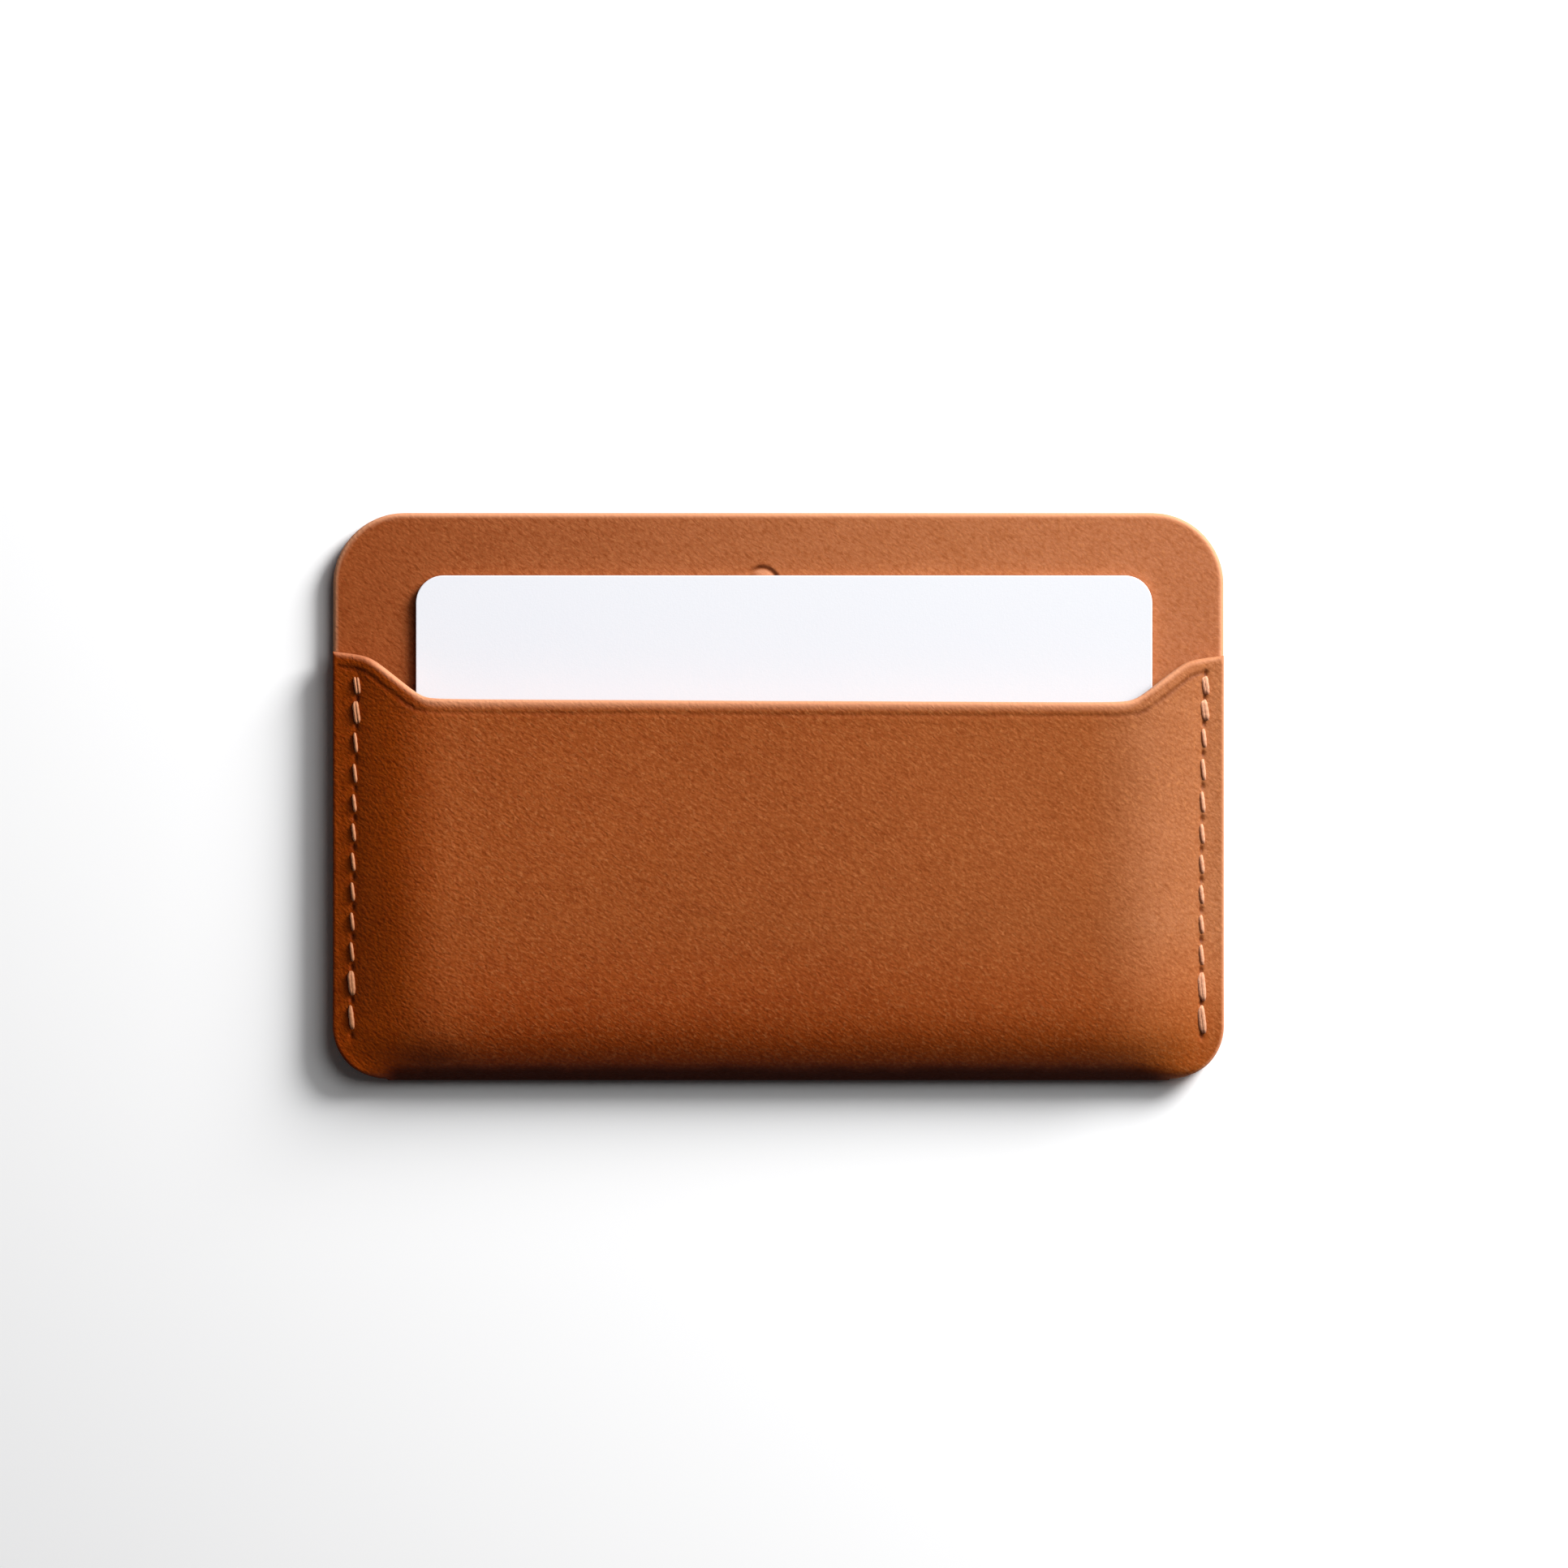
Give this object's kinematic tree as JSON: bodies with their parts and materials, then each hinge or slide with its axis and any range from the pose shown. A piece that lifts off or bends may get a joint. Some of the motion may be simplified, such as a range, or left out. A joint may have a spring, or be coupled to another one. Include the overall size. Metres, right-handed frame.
{
  "type": "card holder",
  "caption": "Slim leather card holder: folded case with a wet-moulded front pocket, sewn flanges and a plain card that slides out of the pocket.",
  "frame": {"origin": "middle of the case's outline, on its back face", "axes": "+X along the pocket mouth, +Y from the folded foot to the open top, +Z out of the pocket front"},
  "size_m": [0.1036, 0.066, 0.0073],
  "materials": {
    "body_leather": "tan full-grain leather, satin",
    "lining_leather": "tan smooth-grain leather, satin",
    "thread": "waxed twisted thread, peach",
    "card_plastic": "satin white"
  },
  "bodies": {
    "holder": {"outer_body": "body_leather", "back_lining": "lining_leather", "needle_thread_left": "thread", "bobbin_thread_left": "thread", "needle_thread_right": "thread", "bobbin_thread_right": "thread"},
    "card": {"card": "card_plastic"}
  },
  "joints": [
    {"name": "card_slide", "type": "slide", "parent": "holder", "child": "card", "axis": [0, 1, 0], "range_m": [-0.003, 0.041]}
  ]
}
